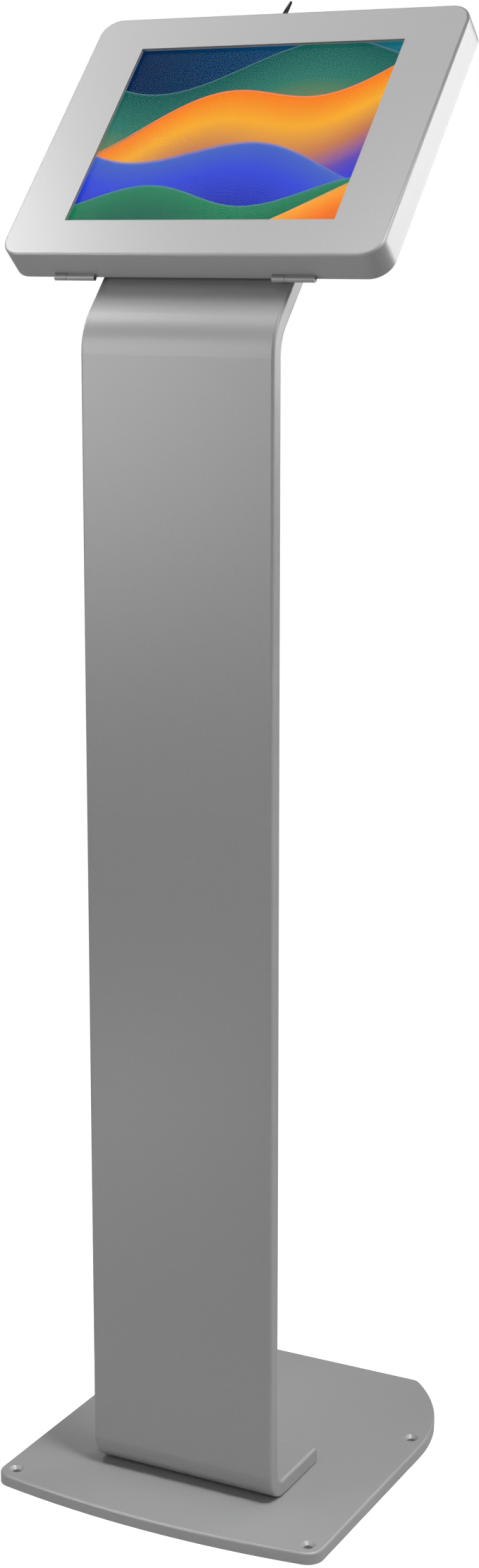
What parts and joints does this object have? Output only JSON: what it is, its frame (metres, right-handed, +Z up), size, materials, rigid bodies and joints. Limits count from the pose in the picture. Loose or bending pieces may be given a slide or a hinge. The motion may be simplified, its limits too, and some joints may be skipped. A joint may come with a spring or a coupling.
{
  "type": "tablet kiosk stand",
  "caption": "Floor stand with a bent hollow column and a tilted lockable enclosure that holds a tablet behind a framed window.",
  "frame": {"origin": "on the floor, in the middle of the floor plate", "axes": "+Z up along the column, -Y towards the user in front of the screen, +X to the user's right"},
  "size_m": [0.2926, 0.2984, 1.0817],
  "materials": {
    "silver_coat": "silver powder coat on sheet steel",
    "zinc_steel": "zinc plated steel",
    "screw_steel": "stainless screws",
    "lock_chrome": "nickel plated lock",
    "key_metal": "black nickel key",
    "rubber": "matt black rubber",
    "foam": "black foam",
    "black_plastic": "moulded black plastic",
    "tablet_aluminium": "bead blasted aluminium",
    "tablet_glass": "clear cover glass",
    "screen": null,
    "battery": "grey battery wrap"
  },
  "bodies": {
    "stand": {"base_plate": "silver_coat", "column_shell": "silver_coat", "column_rear_cover": "silver_coat", "cover_posts": "zinc_steel", "rear_cover_screws": "screw_steel", "exit_grommet": "rubber", "foot_plate": "zinc_steel", "foot_screws": "screw_steel", "mount_plate": "zinc_steel", "neck_plate": "zinc_steel", "mount_screws": "screw_steel", "back_tray": "silver_coat", "tray_grommet": "rubber", "tablet_bracket_lower_left": "black_plastic", "tablet_bracket_lower_right": "black_plastic", "tablet_bracket_upper_left": "black_plastic", "tablet_bracket_upper_right": "black_plastic", "tablet_pads": "foam", "bracket_screws": "screw_steel", "lock_catch": "zinc_steel", "tablet_glass": "tablet_glass", "tablet_housing": "tablet_aluminium", "display_panel": "screen", "tablet_battery": "battery", "hinge_fixed_knuckle_left": "silver_coat", "hinge_fixed_knuckle_right": "silver_coat", "hinge_pin_left": "zinc_steel", "hinge_pin_right": "zinc_steel"},
    "cover": {"front_cover": "silver_coat", "window_gasket": "foam", "hinge_cover_knuckle_left": "silver_coat", "hinge_cover_knuckle_right": "silver_coat", "lock_barrel": "lock_chrome", "lock_nut": "lock_chrome"},
    "plug": {"lock_plug": "lock_chrome", "lock_cam": "zinc_steel", "cam_screw": "screw_steel"},
    "key": {"key": "key_metal"},
    "power_button": {"power_button": "tablet_aluminium"},
    "volume_button": {"volume_button": "tablet_aluminium"}
  },
  "joints": [
    {"name": "cover_hinge", "type": "hinge", "parent": "stand", "child": "cover", "pos_m": [0, -0.06887, 0.88799], "axis": [1, 0, 0], "range_deg": [0, 100]},
    {"name": "lock_turn", "type": "hinge", "parent": "cover", "child": "plug", "pos_m": [-0.007, 0.07936, 1.06478], "axis": [0, 0.6743, 0.7385], "range_deg": [0, 90]},
    {"name": "key_slide", "type": "slide", "parent": "plug", "child": "key", "axis": [0, 0.6743, 0.7385], "range_m": [0, 0.025]},
    {"name": "power_button_press", "type": "slide", "parent": "stand", "child": "power_button", "axis": [0, -0.6743, -0.7385], "range_m": [0, 0.0003], "stiffness_N_per_m": 400, "springref_m": -0.0005},
    {"name": "volume_button_press", "type": "slide", "parent": "stand", "child": "volume_button", "axis": [0, -0.6743, -0.7385], "range_m": [0, 0.0003], "stiffness_N_per_m": 400, "springref_m": -0.0005}
  ]
}
